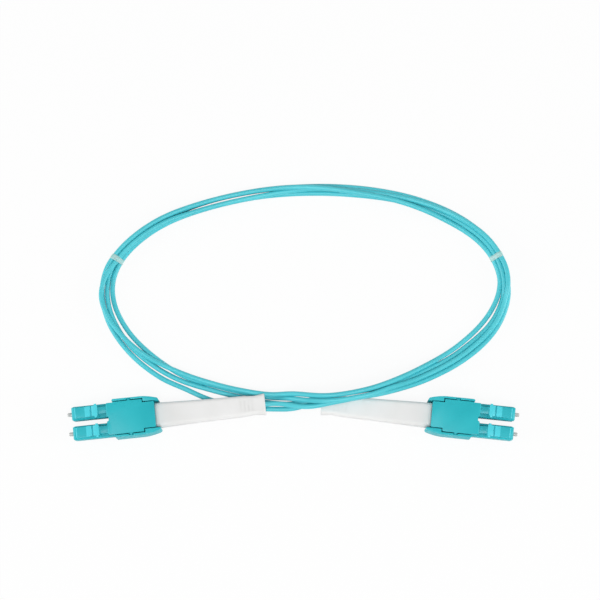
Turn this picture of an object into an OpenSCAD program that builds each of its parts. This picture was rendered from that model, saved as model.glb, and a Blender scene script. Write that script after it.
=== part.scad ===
// Duplex fibre optic patch cord: two twin-plug connectors on one round cable,
// wound three times round an oval and held by two clear ties.
// Millimetres, +Z up. The origin lies on the table, midway between the two connectors.
// Each connector is drawn along its own +x, from the plugs' front faces to the boot's end.

/* [Ferrules] */
// Distance between the two ferrule axes of a connector
ferrule_pitch = 6.25; // [6:0.05:6.6]
// Diameter of each ceramic ferrule
ferrule_d = 1.25; // [1.2:0.01:1.4]
// Length of ferrule that stands out of its plug
ferrule_out = 1.5; // [1:0.1:2.2]
// Whole length of a ferrule
ferrule_len = 7; // [6.4:0.1:8]
// Length of the chamfer at a ferrule's tip
ferrule_chamfer = 0.25; // [0.1:0.05:0.5]
// Height of the fibre axes above the table
axis_h = 3.7; // [3.6:0.05:4.2]

/* [Ferrule holders and springs] */
// Width across the flats of a holder's hexagon flange
flange_af = 2.4; // [2.2:0.05:2.5]
// Thickness of that flange
flange_t = 1; // [0.8:0.1:1.4]
// Length of a holder's tail behind the flange
tail_len = 5.5; // [4.8:0.1:5.8]
// Outer diameter of a holder's tail
tail_d = 1.1; // [1:0.05:1.15]
// Wire diameter of a spring
spring_wire = 0.3; // [0.25:0.01:0.32]
// Mean diameter of a spring
spring_mean_d = 2.1; // [2:0.05:2.2]
// Working length of a fitted spring
spring_len = 4.4; // [4.2:0.1:5]
// Turns of a spring
spring_turns = 5.5; // [4:0.5:5.5]

/* [Plug bodies] */
// Width and height of a plug body
plug_w = 4.4; // [4.3:0.05:4.5]
// Length of a plug body
plug_len = 15.5; // [15:0.1:16.5]
// Chamfer along a plug body's long edges
plug_chamfer = 0.5; // [0.2:0.05:0.6]
// Length of the bevels round a plug's nose
nose_bevel = 0.8; // [0.4:0.1:1]
// Diameter of the recess round a ferrule
recess_d = 2.4; // [2.2:0.1:2.6]
// Depth of that recess
recess_depth = 2.4; // [1.5:0.1:2.6]
// Drop of a plug's top behind its latch shoulders
neck_drop = 0.25; // [0.1:0.05:0.3]

/* [Latches] */
// Width of a latch arm
latch_w = 3.3; // [3:0.1:3.5]
// Width across the two latch shoulders
shoulder_w = 4.3; // [4.1:0.05:4.4]
// Width of a latch tail
latch_tail_w = 2.2; // [1.8:0.1:2.6]
// Thickness of a latch tail
latch_tail_t = 0.8; // [0.6:0.05:0.9]
// Height of a latch tail's top above its plug
latch_rise = 1.9; // [1.85:0.05:2.2]
// Distance of the latch knuckle from the plug's front
knuckle_x = 1.4; // [1.2:0.1:1.6]
// Radius of the latch knuckle
knuckle_r = 0.4; // [0.35:0.01:0.45]
// Distance of the latch shoulders' rear from the plug's front
shoulder_x = 8.5; // [8.2:0.1:8.8]
// Length of a whole latch, from the plug's front
latch_len = 13; // [12.6:0.1:13.2]

/* [Housing] */
// Length of the plugs in front of the housing walls
plug_out = 13.3; // [13:0.1:13.6]
// Length of the housing walls with their wings
wall_len = 14.7; // [14.4:0.1:16]
// Width over the housing walls
housing_w = 12.2; // [12.1:0.1:12.8]
// Length of the walls' curved-in rear part
wing_len = 6.4; // [5:0.1:7]
// How far a wing's tip curves inward
wing_inward = 1.1; // [0.6:0.1:1.2]
// Thickness of the inner deck
deck_t = 0.9; // [0.7:0.05:1]
// Thickness of the housing's rear wall
rear_wall_t = 1.4; // [1:0.1:1.6]
// Thickness of the housing's front wall
front_wall_t = 1.2; // [0.8:0.1:1.6]
// Height of the stepped-in foot round the housing
foot_h = 0.6; // [0.4:0.1:1]
// Depth of that step
foot_inset = 0.4; // [0.2:0.05:0.5]

/* [Trigger] */
// Thickness of the trigger plate
trigger_t = 1.2; // [1:0.1:1.4]
// Width of the trigger plate
trigger_w = 10.3; // [10:0.05:10.4]
// Width of the trigger's narrow rear part
trigger_rear_w = 8.2; // [7.6:0.1:8.4]
// Length of the trigger's nose in front of the walls
trigger_nose = 2; // [1.6:0.1:2.2]
// Length of the trigger behind the front of the walls
trigger_back = 13.3; // [12.6:0.1:13.4]
// Distance of the step in the trigger's sides from the front of the walls
trigger_step = 9.5; // [8.5:0.1:9.8]
// Distance of the pivots from the front of the walls
pivot_x = 5.3; // [4.6:0.1:5.6]
// Diameter of the pivots
pivot_d = 1.3; // [1:0.05:1.4]
// Length of a pivot beyond the plate's side
pivot_out = 0.6; // [0.4:0.05:0.7]
// Visible gap between the trigger and the walls
trigger_gap = 0.3; // [0.2:0.05:0.35]

/* [Boot and crimp] */
// Width of the boot behind the housing
boot_w = 7.8; // [7.4:0.1:8]
// Height of the boot behind the housing
boot_h = 6.2; // [5.6:0.1:6.4]
// Width of the boot where its slots begin
narrow_w = 6.7; // [6.2:0.1:7]
// Width of the boot's waist in front of its flared end
waist_w = 6; // [5.6:0.1:6.6]
// Height of the boot's waist and end
waist_h = 3.2; // [3:0.1:3.3]
// Width of the boot's flared end
flare_w = 6.9; // [6.6:0.1:7.4]
// Length of the boot behind the housing's rear wall
boot_len = 35.1; // [33:0.1:40]
// Length of the flare
flare_len = 3.4; // [3:0.1:4.5]
// Width of a flexing slot across the boot
slot_w = 3.6; // [2.4:0.1:4.6]
// Outer diameter of the crimp sleeve
crimp_d = 3.5; // [3.4:0.1:3.6]
// Wall of the crimp sleeve
crimp_wall = 0.4; // [0.3:0.05:0.4]
// Length of the crimp sleeve
crimp_len = 7; // [6.5:0.1:8]

/* [Cable and ties] */
// Diameter of the round duplex cable
cable_d = 1.6; // [1.5:0.05:1.7]
// Diameter of one buffered fibre inside
fibre_d = 0.4; // [0.25:0.05:0.45]
// Distance between neighbouring turns of the coil
coil_pitch = 2.1; // [2.05:0.01:2.2]
// Half length of the oval coil
coil_a = 63.75; // [62:0.25:66]
// Half width of the oval coil
coil_b = 35.1; // [34:0.1:36]
// Wall of a clear tie
tie_t = 0.2; // [0.15:0.05:0.25]
// Width of a clear tie along the cable
tie_w = 2.2; // [1.6:0.1:3]

/* [Fit] */
// Running clearance round pins, knuckles and tails
fit = 0.05; // [0.03:0.01:0.08]

/* [Hidden] */

AQUA = [0.19, 0.73, 0.77];
AQUA_DEEP = [0.16, 0.66, 0.70];
BOOT_WHITE = [0.91, 0.91, 0.90];
CERAMIC = [0.94, 0.94, 0.92];
STEEL = [0.70, 0.71, 0.73];
CLEAR = [0.88, 0.95, 0.96, 0.5];

a_lot = 60;      // longer than any cut has to be
round_fn = 48;   // smoothness of bores and pins
eps = 0.01;      // cuts run this far past a face

// ---- Heights ----
plug_top = axis_h + plug_w/2;
plug_bottom = axis_h - plug_w/2;
floor_t = plug_bottom - fit;
deck_z = plug_top + fit;
press_gap = 0.2;
trigger_z = plug_top + latch_rise + press_gap;
housing_h = trigger_z + trigger_t;
pivot_z = trigger_z + 0.3;

// ---- Stations along a connector ----
ferrule_tail_x = ferrule_len - ferrule_out;
groove_x = -0.1;     // a narrow groove marks off the stretch that the port's sleeve takes
groove_w = 0.6;
groove_r = 0.45;
ferrule_seat = 1.5;
flange_x = ferrule_tail_x - ferrule_seat;
flange_stop_x = flange_x - 0.1;
holder_end_x = flange_x + flange_t + tail_len;
spring_x = flange_x + flange_t + 0.05;
seat_tube_x = spring_x + spring_len + 0.05;
chamber_r = spring_mean_d/2 + spring_wire/2 + 0.3;
seat_block_x = plug_len + fit;
wall_end_x = plug_out + wall_len;
rear_wall_x = plug_out + 11.7;
rear_wall_end = rear_wall_x + rear_wall_t;
boot_flange_t = 1.5;
boot_flange_x = rear_wall_x - fit - boot_flange_t;
seat_block_end = boot_flange_x - 0.1;
post_r = crimp_d/2 - crimp_wall - fit;
post_bore_r = 0.9;
crimp_x = seat_block_end + fit;
post_end_x = crimp_x + crimp_len - 2;
cable_start_x = post_end_x + 0.15;
fibre_end_x = post_end_x + 0.1;
boot_x = rear_wall_end + 0.1;
boot_end_x = boot_x + boot_len;
boot_bore_r = crimp_d/2 + 0.1;
boot_bore_end = crimp_x + crimp_len + 1;
cable_bore_r = cable_d/2 + 0.08;
plug_y = ferrule_pitch/2;
wall_inner = trigger_w/2 + trigger_gap;
wall_rear_inner = trigger_rear_w/2 + trigger_gap;
step_x = plug_out + trigger_step;

// ---- Where the connectors lie ----
exit_x = 9;         // each boot's end, from the middle of the part
exit_y = 4.3;
tilt = 6;           // each connector's front points this far towards the viewer
function side_of(end) = end == "a" ? -1 : 1;
function heading(end) = end == "a" ? tilt : 180 - tilt;
function on_axis(end, x) =
    [side_of(end)*exit_x + (x - boot_end_x)*cos(heading(end)),
     exit_y + (x - boot_end_x)*sin(heading(end)), axis_h];
module at_connector(end)
    translate([side_of(end)*exit_x, exit_y, 0])
        rotate([0, 0, heading(end)])
            translate([-boot_end_x, 0, 0])
                children();
module at_plug(end, n)
    at_connector(end)
        translate([0, n == 1 ? plug_y : -plug_y, 0])
            children();

// ---- Small helpers ----
// A cylinder along +x from x0 to x1 on the fibre axis
module bar(x0, x1, r, fn = round_fn)
    translate([x0, 0, axis_h])
        rotate([0, 90, 0])
            cylinder(h = x1 - x0, r = r, $fn = fn);
// A flat outline in (y, z), carried along +x from x0 to x1
module along_x(x0, x1)
    translate([x0, 0, 0])
        rotate([90, 0, 90])
            linear_extrude(height = x1 - x0)
                children();
// A flat outline in (x, z), spread evenly to both sides of y = 0
module across_y(width)
    rotate([90, 0, 0])
        linear_extrude(height = width, center = true)
            children();
// A box from corner to corner
module box(lo, hi)
    translate(lo)
        cube(hi - lo);
// A rectangle in (y, z) round the fibre axis with its corners cut off
module cut_rectangle(w, h, c)
    polygon([
        [-w/2 + c, axis_h - h/2], [w/2 - c, axis_h - h/2],
        [w/2, axis_h - h/2 + c], [w/2, axis_h + h/2 - c],
        [w/2 - c, axis_h + h/2], [-w/2 + c, axis_h + h/2],
        [-w/2, axis_h + h/2 - c], [-w/2, axis_h - h/2 + c]]);

// ---- Tubes swept along a list of points ----
function unit(v) = v/norm(v);
function mix(a, b, s) = a + (b - a)*s;
function within(s) = min(1, max(0, s));
function smooth(s) = let (c = within(s)) c*c*(3 - 2*c);
function tangent(p, i) =
    let (n = len(p) - 1)
    i == 0 ? unit(p[1] - p[0]) : i == n ? unit(p[n] - p[n-1]) : unit(unit(p[i+1] - p[i]) + unit(p[i] - p[i-1]));
function ring(centre, t, r, sides) =
    let (side = unit(cross(t, [0, 0, 1])), up = cross(side, t))
    [for (k = [0:sides-1]) centre + r*(cos(360*k/sides)*side - sin(360*k/sides)*up)];
function ring_faces(rings, sides) = [
    for (i = [0:rings-2], k = [0:sides-1])
        let (a = i*sides + k, b = i*sides + (k + 1)%sides)
        each [[a, a + sides, b], [b, a + sides, b + sides]]];
function cap_faces(rings, sides) = concat(
    [for (k = [1:sides-2]) [0, k, k + 1]],
    [for (k = [1:sides-2]) let (z = (rings - 1)*sides) [z, z + k + 1, z + k]]);
module skin(points, rings, sides)
    polyhedron(points = points, faces = concat(ring_faces(rings, sides), cap_faces(rings, sides)));
module tube(path, r, sides)
    skin([for (i = [0:len(path)-1]) each ring(path[i], tangent(path, i), r, sides)], len(path), sides);

// ---- Ferrule, holder, spring and fibre ----
module ferrule(end, n) color(CERAMIC) at_plug(end, n)
    translate([0, 0, axis_h]) rotate([0, 90, 0])
        rotate_extrude($fn = round_fn)
            polygon([
                [0, -ferrule_out], [ferrule_d/2 - ferrule_chamfer/2, -ferrule_out],
                [ferrule_d/2, -ferrule_out + ferrule_chamfer],
                [ferrule_d/2, groove_x], [groove_r, groove_x],
                [groove_r, groove_x + groove_w], [ferrule_d/2, groove_x + groove_w],
                [ferrule_d/2, ferrule_tail_x - 0.1], [ferrule_d/2 - 0.1, ferrule_tail_x],
                [0, ferrule_tail_x]]);

module ferrule_holder(end, n) color(STEEL) at_plug(end, n)
    difference() {
        union() {
            bar(flange_x, flange_x + flange_t, flange_af/2/cos(30), 6);
            bar(flange_x, holder_end_x, tail_d/2);
            bar(flange_x, flange_x + ferrule_seat + 0.1, ferrule_d/2 + 0.22);
        }
        bar(flange_x - eps, ferrule_tail_x + 0.02, ferrule_d/2 + 0.01);
        bar(ferrule_tail_x, holder_end_x + eps, fibre_d/2 + 0.08);
    }

// A spring's wire: rings along a helix about the fibre axis
spring_rings = 8;
function helix(i) =
    let (s = i/(spring_turns*spring_rings), a = 360*i/spring_rings)
    [spring_x + spring_wire/2 + s*(spring_len - spring_wire),
     spring_mean_d/2*cos(a), spring_mean_d/2*sin(a)];
function helix_ring(i, sides) =
    let (a = 360*i/spring_rings, out = [0, cos(a), sin(a)])
    [for (k = [0:sides-1])
        [0, 0, axis_h] + helix(i) + spring_wire/2*(cos(360*k/sides)*out - sin(360*k/sides)*[1, 0, 0])];
module spring(end, n) color(STEEL) at_plug(end, n) {
    count = spring_turns*spring_rings;
    skin([for (i = [0:count]) each helix_ring(i, 6)], count + 1, 6);
}

// A fibre runs straight out of its holder, swings in to the middle and enters the cable
module fibre(end, n) color("khaki") at_connector(end) {
    side = n == 1 ? 1 : -1;
    inner_y = fibre_d/2 + 0.1;
    swing_x = seat_block_x + 0.5;
    rest_x = seat_block_end - 0.5;
    tube(concat(
        [[ferrule_tail_x + 0.05, side*plug_y, axis_h]],
        [for (k = [0:8]) [mix(swing_x, rest_x, k/8), side*mix(plug_y, inner_y, smooth(k/8)), axis_h]],
        [[fibre_end_x, side*inner_y, axis_h]]), fibre_d/2, 6);
}

// ---- Plug body and its latch ----
// Side view of a plug: bevelled nose, full front, lower neck behind the latch shoulders
module plug_side_view()
    polygon([
        [0, plug_bottom + nose_bevel*0.6], [nose_bevel*0.5, plug_bottom], [plug_len, plug_bottom],
        [plug_len, plug_top], [plug_out, plug_top], [plug_out - 0.2, plug_top - neck_drop],
        [shoulder_x + 0.5, plug_top - neck_drop], [shoulder_x + 0.2, plug_top],
        [nose_bevel, plug_top], [0, plug_top - nose_bevel*0.7]]);
module plug_plan_view()
    polygon([
        [0, -plug_w/2 + nose_bevel*0.4], [nose_bevel, -plug_w/2], [plug_len, -plug_w/2],
        [plug_len, plug_w/2], [nose_bevel, plug_w/2], [0, plug_w/2 - nose_bevel*0.4]]);
module plug_body(end, n) color(AQUA) at_plug(end, n)
    difference() {
        intersection() {
            along_x(0, plug_len) cut_rectangle(plug_w, plug_w, plug_chamfer);
            across_y(plug_w + 2) plug_side_view();
            linear_extrude(height = housing_h) plug_plan_view();
        }
        bar(-eps, recess_depth, recess_d/2);
        bar(recess_depth - eps, flange_stop_x + eps, ferrule_d/2 + fit);
        bar(flange_stop_x, plug_len + eps, chamber_r);
        knuckle(knuckle_r + fit, plug_w + 2);
    }

knuckle_z = plug_top + 0.3;
module knuckle(r, width)
    translate([knuckle_x, 0, knuckle_z])
        rotate([90, 0, 0])
            cylinder(h = width, r = r, center = true, $fn = round_fn);

// Heights of the latch are counted from the top of its plug
function latch_points(list) = [for (p = list) [p[0], plug_top + p[1]]];
shoulder_rise = latch_rise + 0.6;
// The cam ramps fill the stretch between the knuckle and the shoulders' rear
function along_latch(share) = mix(knuckle_x, shoulder_x, share);
module latch(end, n) color(AQUA) at_plug(end, n) {
    arm_under = latch_rise - latch_tail_t;
    union() {
        knuckle(knuckle_r, latch_w);
        across_y(latch_w) polygon(latch_points([
            [knuckle_x, 0.3 + knuckle_r], [along_latch(0.41), 0.95], [along_latch(0.66), 1.75],
            [along_latch(0.68), 1.4], [along_latch(0.725), 1.4], [along_latch(0.73), 1.85],
            [shoulder_x, shoulder_rise], [shoulder_x, arm_under], [along_latch(0.9), 0.95],
            [along_latch(0.41), 0.42], [knuckle_x, 0.2]]));
        across_y(shoulder_w) polygon(latch_points([
            [along_latch(0.85), 1.3], [along_latch(0.85), mix(1.85, shoulder_rise, 0.44)],
            [along_latch(0.96), mix(1.85, shoulder_rise, 0.85)], [along_latch(0.96), 1.3]]));
        across_y(latch_tail_w) polygon(latch_points([
            [shoulder_x - 0.4, arm_under], [shoulder_x - 0.4, latch_rise + 0.2],
            [shoulder_x + 0.6, latch_rise],
            [latch_len - 0.2, latch_rise], [latch_len, latch_rise - 0.2], [latch_len, arm_under]]));
    }
}

// ---- Spring seat: two push tubes, the fibre chamber and the crimp post ----
module spring_seat(end) color(AQUA_DEEP) at_connector(end) {
    block_w = 2*wall_inner - 4*fit;
    difference() {
        union() {
            along_x(seat_block_x, seat_block_end)
                cut_rectangle(block_w, plug_w - 2*fit, plug_chamfer);
            for (s = [-1, 1]) translate([0, s*plug_y, 0])
                bar(seat_tube_x, seat_block_x + eps, chamber_r - fit);
            bar(seat_block_end - eps, post_end_x, post_r);
        }
        for (s = [-1, 1]) translate([0, s*plug_y, 0])
            bar(seat_tube_x - eps, seat_block_x + 1, tail_d/2 + 0.1);
        translate([0, 0, axis_h - 0.8]) linear_extrude(height = 1.6)
            polygon([
                [seat_block_x + 0.2, -plug_y - 0.7], [seat_block_x + 1.2, -plug_y - 0.7],
                [seat_block_end - 0.5, -0.85], [seat_block_end - 0.5, 0.85],
                [seat_block_x + 1.2, plug_y + 0.7], [seat_block_x + 0.2, plug_y + 0.7]]);
        bar(seat_block_end - 1, post_end_x + eps, post_bore_r);
    }
}

// ---- Housing base: floor, side walls that end in wings, rear wall ----
// Outline of the walls in plan; the rear part follows a parabola inward
wing_steps = 8;
function wall_y(x) =
    let (s = max(0, x - (wall_end_x - wing_len))/wing_len)
    housing_w/2 - wing_inward*s*s;
function housing_outline(inset) =
    let (side = concat(
        [[plug_out + 0.3 + inset, wall_y(0) - inset]],
        [for (k = [0:wing_steps])
            let (x = wall_end_x - inset - 0.3 - (wing_len - 0.3)*(1 - k/wing_steps))
            [x, wall_y(x) - inset]],
        [[wall_end_x - inset, wall_y(wall_end_x) - inset - 0.3]]))
    concat(
        [[plug_out + inset, wall_y(0) - inset - 0.3]], side,
        [for (k = [len(side)-1:-1:0]) [side[k][0], -side[k][1]]],
        [[plug_out + inset, -(wall_y(0) - inset - 0.3)]]);
module housing_base(end) color(AQUA) at_connector(end)
    difference() {
        union() {
            linear_extrude(height = foot_h)
                polygon(housing_outline(foot_inset));
            translate([0, 0, foot_h]) linear_extrude(height = housing_h - foot_h)
                polygon(housing_outline(0));
        }
        // the bay for the plugs' rear ends and the spring seat
        box([plug_out + front_wall_t, -wall_inner, floor_t],
            [seat_block_end + fit, wall_inner, deck_z]);
        // windows in the front wall, one for each plug
        for (s = [-1, 1])
            box([plug_out - 1, s*plug_y - plug_w/2 - fit, floor_t],
                [plug_out + front_wall_t + 1, s*plug_y + plug_w/2 + fit, housing_h]);
        // above: the deck and the trigger
        box([plug_out - 1, -wall_inner, deck_z - fit],
            [step_x + trigger_gap, wall_inner, housing_h + 1]);
        // the bay for the boot's flange
        box([step_x, -wall_rear_inner, floor_t], [rear_wall_x, wall_rear_inner, housing_h + 1]);
        // above the rear wall: deck and trigger tail
        box([rear_wall_x - eps, -wall_rear_inner, deck_z - fit], [a_lot, wall_rear_inner, housing_h + 1]);
        // between the wings, behind the rear wall
        box([rear_wall_end, -wall_rear_inner, -1], [a_lot, wall_rear_inner, housing_h + 1]);
        // mouth for the boot's neck
        box([rear_wall_x - 1, -boot_neck_w/2 - fit, plug_bottom], [a_lot, boot_neck_w/2 + fit, housing_h]);
        // open-topped seats for the trigger's pivots
        for (s = [-1, 1]) {
            y0 = s*(wall_inner - 0.5);
            y1 = s*(trigger_w/2 + pivot_out + fit);
            box([plug_out + pivot_x - pivot_d/2 - fit, min(y0, y1), pivot_z],
                [plug_out + pivot_x + pivot_d/2 + fit, max(y0, y1), housing_h + 1]);
            translate([plug_out + pivot_x, (y0 + y1)/2, pivot_z]) rotate([90, 0, 0])
                cylinder(h = abs(y1 - y0), r = pivot_d/2 + fit, center = true, $fn = round_fn);
        }
    }

// ---- Housing deck: closes the works and the boot's flange under the trigger ----
deck_front_x = plug_out + 0.6;
module housing_deck(end) color(AQUA_DEEP) at_connector(end)
    difference() {
        union() {
            box([deck_front_x, -wall_inner + 0.1, deck_z],
                [step_x + trigger_gap - 0.1, wall_inner - 0.1, deck_z + deck_t]);
            box([deck_front_x, -wall_rear_inner + 0.1, deck_z],
                [rear_wall_end, wall_rear_inner - 0.1, deck_z + deck_t]);
        }
        // a shallow well under the pressed end of the trigger
        box([deck_front_x - 1, -latch_tail_w - plug_y, deck_z + deck_t - 0.3],
            [deck_front_x + 2, latch_tail_w + plug_y, housing_h]);
    }

// ---- Trigger: rocks on two side pivots and pushes both latch tails down ----
trigger_front_x = plug_out - trigger_nose;
trigger_end_x = plug_out + trigger_back;
module trigger(end) color(AQUA) at_connector(end) {
    nose_w = trigger_w - 0.3;
    notch_w = ferrule_pitch - plug_w;
    union() {
        difference() {
            translate([0, 0, trigger_z]) linear_extrude(height = trigger_t)
                polygon([
                    [trigger_front_x, -nose_w/2 + 0.3], [trigger_front_x + 0.3, -nose_w/2],
                    [plug_out, -nose_w/2], [plug_out + 0.3, -trigger_w/2], [step_x, -trigger_w/2],
                    [step_x, -trigger_rear_w/2], [trigger_end_x - 0.3, -trigger_rear_w/2],
                    [trigger_end_x, -trigger_rear_w/2 + 0.3],
                    [trigger_end_x, trigger_rear_w/2 - 0.3],
                    [trigger_end_x - 0.3, trigger_rear_w/2], [step_x, trigger_rear_w/2],
                    [step_x, trigger_w/2], [plug_out + 0.3, trigger_w/2], [plug_out, nose_w/2],
                    [trigger_front_x + 0.3, nose_w/2], [trigger_front_x, nose_w/2 - 0.3],
                    [trigger_front_x, notch_w/2], [trigger_front_x + 0.6, notch_w/2 - 0.3],
                    [trigger_front_x + 0.6, -notch_w/2 + 0.3], [trigger_front_x, -notch_w/2]]);
            // bevelled upper front edge
            across_y(trigger_w + 2) polygon([
                [trigger_front_x - 1, housing_h - 0.25], [trigger_front_x, housing_h - 0.25],
                [trigger_front_x + 0.25, housing_h], [trigger_front_x + 0.25, housing_h + 1],
                [trigger_front_x - 1, housing_h + 1]]);
        }
        translate([plug_out + pivot_x, 0, pivot_z]) rotate([90, 0, 0])
            cylinder(h = trigger_w + 2*pivot_out, r = pivot_d/2, center = true, $fn = round_fn);
    }
}

// ---- Crimp sleeve ----
module crimp_sleeve(end) color(STEEL) at_connector(end)
    difference() {
        bar(crimp_x, crimp_x + crimp_len, crimp_d/2);
        bar(crimp_x - eps, post_end_x + 0.05, crimp_d/2 - crimp_wall);
        bar(post_end_x, crimp_x + crimp_len + eps, cable_d/2 + 0.04);
    }

// ---- Boot: a lofted strain relief with a captive flange and flexing slots ----
boot_neck_w = 6.6;
boot_neck_h = plug_w - 2*fit;
boot_flange_w = 2*wall_rear_inner - 0.4;
// Stations: share of the taper's length, width share and height share
boot_taper = [
    [0, 0], [0.05, 0.03], [0.15, 0.2], [0.26, 0.45], [0.38, 0.72], [0.5, 0.9], [0.6, 0.98], [0.7, 1]];
boot_corner_steps = 4;
// A rounded rectangle in (y, z), corner by corner
function rounded(w, h, r) = [
    for (q = [0:3], k = [0:boot_corner_steps])
        let (a = 90*q + 90*k/boot_corner_steps,
             sy = (q == 0 || q == 3) ? 1 : -1, sz = q < 2 ? 1 : -1)
        [sy*(w/2 - r) + r*cos(a), sz*(h/2 - r) + r*sin(a)]];
function boot_station(x, w, h) =
    let (r = 0.36*min(w, h, waist_h))
    [for (p = rounded(w, h, r)) [x, p[0], axis_h + p[1]]];
module boot(end) color(BOOT_WHITE) at_connector(end) {
    sides = 4*(boot_corner_steps + 1);
    taper_len = boot_len - flare_len - 3.6;
    stations = concat(
        [boot_station(boot_x, boot_w - 0.5, boot_h - 0.5)],
        [boot_station(boot_x + 0.25, boot_w, boot_h)],
        [for (s = boot_taper)
            if (s[0] > 0) boot_station(boot_x + s[0]*taper_len,
                mix(boot_w, narrow_w, s[0]), mix(boot_h, waist_h, s[1]))],
        [boot_station(boot_x + taper_len, narrow_w, waist_h)],
        [boot_station(boot_end_x - flare_len, waist_w, waist_h)],
        [boot_station(boot_end_x - 0.25, flare_w, waist_h)],
        [boot_station(boot_end_x, flare_w - 0.4, waist_h - 0.4)]);
    difference() {
        union() {
            skin([for (s = stations) each s], len(stations), sides);
            along_x(boot_flange_x, rear_wall_x - fit)
                cut_rectangle(boot_flange_w, boot_neck_h, plug_chamfer);
            along_x(rear_wall_x - fit - eps, boot_x + 0.5)
                cut_rectangle(boot_neck_w, boot_neck_h, plug_chamfer);
        }
        bar(boot_flange_x - eps, boot_bore_end, boot_bore_r);
        bar(boot_bore_end - eps, a_lot*2, cable_bore_r);
        // flexing slots, four in the top and four in the bottom
        for (k = [0:3], up = [-1, 1])
            translate([boot_end_x - 8 + 1.25*k, 0, axis_h + up*(cable_d/2 + 0.35 + waist_h/2)])
                translate([0, -slot_w/2, -waist_h/2])
                    cube([0.4, slot_w, waist_h]);
    }
}

// ---- Cable ----
// The bundle's middle line is an ellipse, drawn a little fuller at its back and right:
// its radius is multiplied by one plus three small sine terms of the angle.
// Turns are counted in degrees from the middle of the front, anticlockwise from above.
coil_centre = [4.25, 39.9];
cable_h = cable_d/2 + tie_t + 0.05;      // the turns lie on the ties' lower walls
over_boot_h = axis_h + waist_h/2 + cable_d/2 + 0.3;
coil_step = 10;
coil_from = 25;
coil_to = 1015;
cross_from = 2*360 + 135;                // the third turn climbs over the others here
cross_to = 2*360 + 240;
cross_lift = cable_d + 0.55;
ride_lift = cable_d + 0.65;
inner_lane = -1.37*coil_pitch;
outer_lane = 1.3*coil_pitch;
end_lane = 3.1;
exit_run = 2;                            // the cable leaves each boot straight this far
function turn_of(step) = step - 25*sin(step);   // packs the rings closer at the front
function oval(turn) =
    let (t = turn - 90, k = 1 + 0.027*sin(t) + 0.027*sin(2*t) + 0.019*sin(3*t))
    coil_centre + k*[coil_a*cos(t), coil_b*sin(t)];
function outward(turn) =
    let (d = unit(oval(turn + 1) - oval(turn - 1))) [d[1], -d[0]];
// Two turns wind steadily inward. The third lies inmost, then crosses over both:
// it slides over the second turn, on to the first and down on their outer side.
function over_lane(s) =
    mix(inner_lane, -coil_pitch/2, smooth((s - 0.04)/0.2))
    + coil_pitch*smooth((s - 0.25)/0.4)
    + (outer_lane - coil_pitch/2)*smooth((s - 0.72)/0.2);
function lane(turn) =
    turn <= 720 ? coil_pitch*(1 - turn/360) :
    turn <= cross_from ? mix(-coil_pitch, inner_lane, (turn - 720)/(cross_from - 720)) :
    turn <= cross_to ? over_lane((turn - cross_from)/(cross_to - cross_from)) :
    mix(outer_lane, end_lane, (turn - cross_to)/(turn_of(coil_to) - cross_to));
function crossing(turn) =
    let (s = (turn - cross_from)/(cross_to - cross_from))
    smooth(s/0.13)*(1 - smooth((s - 0.86)/0.16));
// At the front the bundle draws together and rides over the corner of the right boot,
// with the third turn on top. nth is 0, 1 or 2 for the three turns.
function together(x, nth) =
    let (near = 0.6*smooth((x + 24)/14), third = within(nth - 1))
    mix(within(nth)*near*(1 - smooth(x/9))
            - 0.45*smooth((x - 2)/10)*(1 - smooth((x - 24)/18)),
        (near + smooth((x + 2.5)/13))*(1 - smooth((x - 20)/26)), third);
function ride(x, nth) =
    smooth((x + 6)/16.5)*(1 - smooth((x - 27)/31))*(over_boot_h - cable_h)
    + ride_lift*within(nth - 1)*smooth((x + 6.5)/13)*(1 - smooth((x - 27)/24));
function turn_point(step) =
    let (turn = turn_of(step), out = outward(turn), nth = 1 - lane(turn)/coil_pitch,
         p = oval(turn) + lane(turn)*out, front = cos(turn) > 0,
         q = front ? p + together(p[0], nth)*out : p)
    [q[0], q[1], cable_h + (front ? ride(p[0], nth) : 0) + cross_lift*crossing(turn)];
coil_path = [for (step = [coil_from:coil_step:coil_to]) turn_point(step)];
coil_rings = len(coil_path);
coil_start_way = unit(coil_path[1] - coil_path[0]);
coil_end_way = unit(coil_path[coil_rings-1] - coil_path[coil_rings-2]);

// Free stretches, from each boot to the coil
lead_a_route = [
    [-5.3, 4.5, 3.95], [-2.6, 4.2, 4.6], [0.2, 3.5, 5.4], [3, 3, 6], [6, 2.85, 6.35],
    [8.6, 3, 6.4], [11.2, 3.45, 6.4], [14.2, 4.05, 6.4], [17, 4.6, 6.4]];
lead_b_route = [
    [-34.7, 8.75, 1.05], [-31.6, 7.4, 1.05], [-28.4, 6.2, 1.05],
    [-25, 5.2, 1.05], [-21.6, 4.35, 1.05], [-18.2, 3.65, 1.05], [-14.8, 3.15, 1.05],
    [-11.4, 2.8, 1.05], [-8, 2.65, 1.05], [-4.8, 2.6, 1.05], [-2.3, 2.6, 1.1],
    [0.1, 2.9, 1.45], [2.8, 3.65, 2.2], [5, 4.4, 3.15]];
lead_a_path = concat(
    [on_axis("a", cable_start_x), on_axis("a", boot_end_x), on_axis("a", boot_end_x + exit_run)],
    lead_a_route, [coil_path[0] - cable_d*coil_start_way, coil_path[0]]);
lead_b_path = concat(
    [coil_path[coil_rings-1], coil_path[coil_rings-1] + cable_d*coil_end_way], lead_b_route,
    [on_axis("b", boot_end_x + exit_run), on_axis("b", boot_end_x), on_axis("b", cable_start_x)]);
module cable_lead_a() color(AQUA) tube(lead_a_path, cable_d/2, 8);
module cable_coil() color(AQUA) tube(coil_path, cable_d/2, 6);
module cable_lead_b() color(AQUA) tube(lead_b_path, cable_d/2, 8);

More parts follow.
